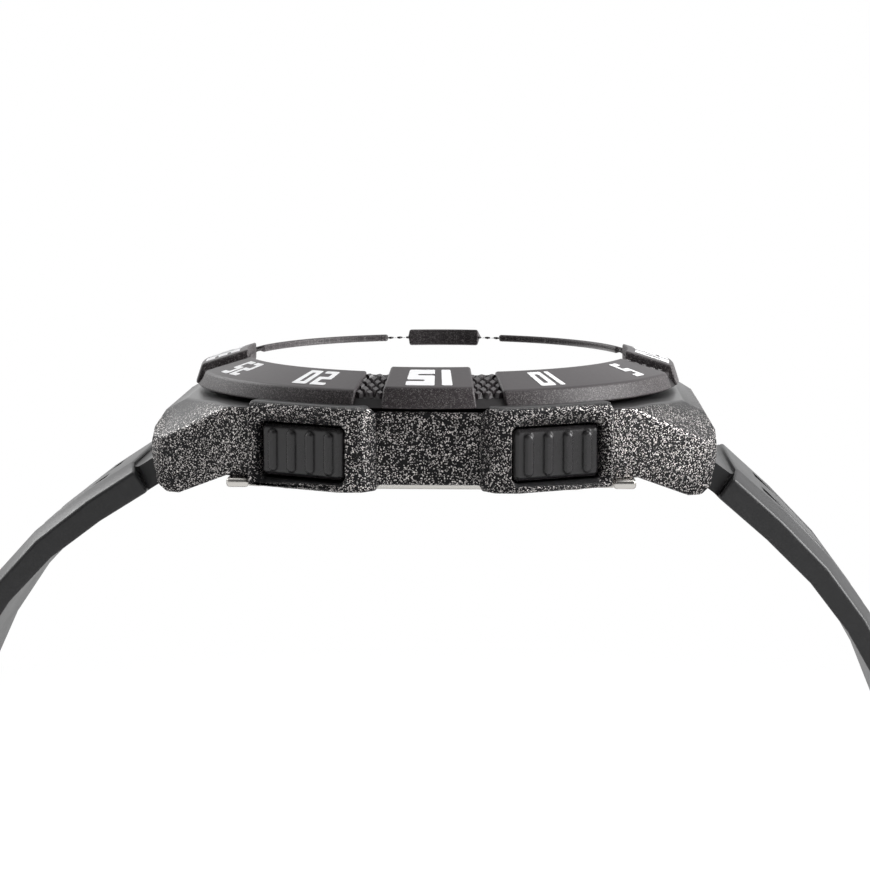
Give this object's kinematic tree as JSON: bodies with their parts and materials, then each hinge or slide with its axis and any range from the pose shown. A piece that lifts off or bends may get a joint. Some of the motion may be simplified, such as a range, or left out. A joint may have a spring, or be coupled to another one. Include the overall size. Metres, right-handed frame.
{
  "type": "analog digital wristwatch",
  "caption": "Sports wristwatch with hands over a digital display, a resin case with guarded side pushers, a raised bezel and a two-part strap that closes with a buckle.",
  "frame": {"origin": "centre of the outer face of the case back", "axes": "+X towards 3 o'clock, +Y towards 12 o'clock, +Z out of the dial"},
  "size_m": [0.047, 0.1016, 0.0724],
  "materials": {
    "case_resin": "matte with fine metallic fleck",
    "bezel_resin": "satin moulded",
    "strap_resin": "satin moulded",
    "pusher_resin": "satin",
    "mineral_glass": "polished",
    "gasket_rubber": "matte",
    "stainless_steel": "brushed",
    "spring_steel": "bright",
    "module_plastic": "matte",
    "board_green": "satin",
    "gear_brass": "satin",
    "coil_copper": "varnished",
    "lcd_glass": "satin",
    "connector_rubber": "matte",
    "dial_paint": "satin printed",
    "marker_paint": "luminous white"
  },
  "bodies": {
    "case": {"case_body": "case_resin", "bezel_ring": "bezel_resin", "crystal": "mineral_glass", "crystal_gasket": "gasket_rubber", "case_back": "stainless_steel", "case_back_screws": "stainless_steel", "case_back_seal": "gasket_rubber", "module_housing": "module_plastic", "circuit_board": "board_green", "battery": "stainless_steel", "battery_clamp": "spring_steel", "buzzer": "gear_brass", "lcd_panel": "lcd_glass", "lcd_connector": "connector_rubber", "motor_coil": "coil_copper", "motor_stator": "spring_steel", "train_plate": "gear_brass", "train_bridge": "gear_brass", "dial_plate": "dial_paint", "chapter_ring": "dial_paint", "hour_markers": "marker_paint", "spring_bar_12": "stainless_steel", "spring_bar_6": "stainless_steel", "pusher_spring_2": "spring_steel", "pusher_spring_4": "spring_steel", "pusher_spring_8": "spring_steel", "pusher_spring_10": "spring_steel"},
    "pusher_2": {"pusher_2": "pusher_resin", "pusher_clip_2": "spring_steel", "pusher_seal_2": "gasket_rubber"},
    "pusher_4": {"pusher_4": "pusher_resin", "pusher_clip_4": "spring_steel", "pusher_seal_4": "gasket_rubber"},
    "pusher_8": {"pusher_8": "pusher_resin", "pusher_clip_8": "spring_steel", "pusher_seal_8": "gasket_rubber"},
    "pusher_10": {"pusher_10": "pusher_resin", "pusher_clip_10": "spring_steel", "pusher_seal_10": "gasket_rubber"},
    "minute": {"cannon_pinion": "gear_brass", "minute_hand": "marker_paint"},
    "minute_wheel": {"minute_wheel": "gear_brass"},
    "hour": {"hour_wheel": "gear_brass", "hour_hand": "marker_paint"},
    "strap_long": {"strap_long": "strap_resin"},
    "strap_short": {"strap_short": "strap_resin", "buckle_bar": "stainless_steel"},
    "buckle": {"buckle_frame": "stainless_steel"},
    "tongue": {"buckle_tongue": "stainless_steel"},
    "keeper": {"keeper_loop": "strap_resin"}
  },
  "joints": [
    {"name": "pusher_2_press", "type": "slide", "parent": "case", "child": "pusher_2", "axis": [-0.887, -0.4617, 0], "range_m": [0, 0.0009], "stiffness_N_per_m": 900, "springref_m": -0.0004, "deforming": ["pusher_spring_2"]},
    {"name": "pusher_10_press", "type": "slide", "parent": "case", "child": "pusher_10", "axis": [0.887, -0.4617, 0], "range_m": [0, 0.0009], "stiffness_N_per_m": 900, "springref_m": -0.0004, "deforming": ["pusher_spring_10"]},
    {"name": "pusher_8_press", "type": "slide", "parent": "case", "child": "pusher_8", "axis": [0.887, 0.4617, 0], "range_m": [0, 0.0009], "stiffness_N_per_m": 900, "springref_m": -0.0004, "deforming": ["pusher_spring_8"]},
    {"name": "pusher_4_press", "type": "slide", "parent": "case", "child": "pusher_4", "axis": [-0.887, 0.4617, 0], "range_m": [0, 0.0009], "stiffness_N_per_m": 900, "springref_m": -0.0004, "deforming": ["pusher_spring_4"]},
    {"name": "minute_turn", "type": "hinge", "parent": "case", "child": "minute", "pos_m": [0, 0, 0], "axis": [0, 0, 1], "continuous": true},
    {"name": "minute_wheel_turn", "type": "hinge", "parent": "case", "child": "minute_wheel", "pos_m": [0.0032, 0, 0], "axis": [0, 0, 1], "continuous": true},
    {"name": "hour_turn", "type": "hinge", "parent": "case", "child": "hour", "pos_m": [0, 0, 0], "axis": [0, 0, 1], "continuous": true},
    {"name": "strap_long_hinge", "type": "hinge", "parent": "case", "child": "strap_long", "pos_m": [0, -0.0219, 0.003], "axis": [-1, 0, 0], "range_deg": [-5, 18]},
    {"name": "strap_short_hinge", "type": "hinge", "parent": "case", "child": "strap_short", "pos_m": [0, 0.0219, 0.003], "axis": [1, 0, 0], "range_deg": [-5, 18]},
    {"name": "buckle_hinge", "type": "hinge", "parent": "strap_short", "child": "buckle", "pos_m": [0, 0.03501, -0.05987], "axis": [-1, 0, 0], "range_deg": [-30, 40]},
    {"name": "tongue_hinge", "type": "hinge", "parent": "buckle", "child": "tongue", "pos_m": [0, 0.03501, -0.05987], "axis": [-1, 0, 0], "range_deg": [0, 85]},
    {"name": "keeper_slide", "type": "slide", "parent": "strap_short", "child": "keeper", "axis": [0, 0.1736, -0.9848], "range_m": [-0.0025, 0.0025]}
  ],
  "couplings": [
    {"joint": "minute_wheel_turn", "follows": "minute_turn", "ratio": -0.33333},
    {"joint": "hour_turn", "follows": "minute_turn", "ratio": 0.083333}
  ]
}
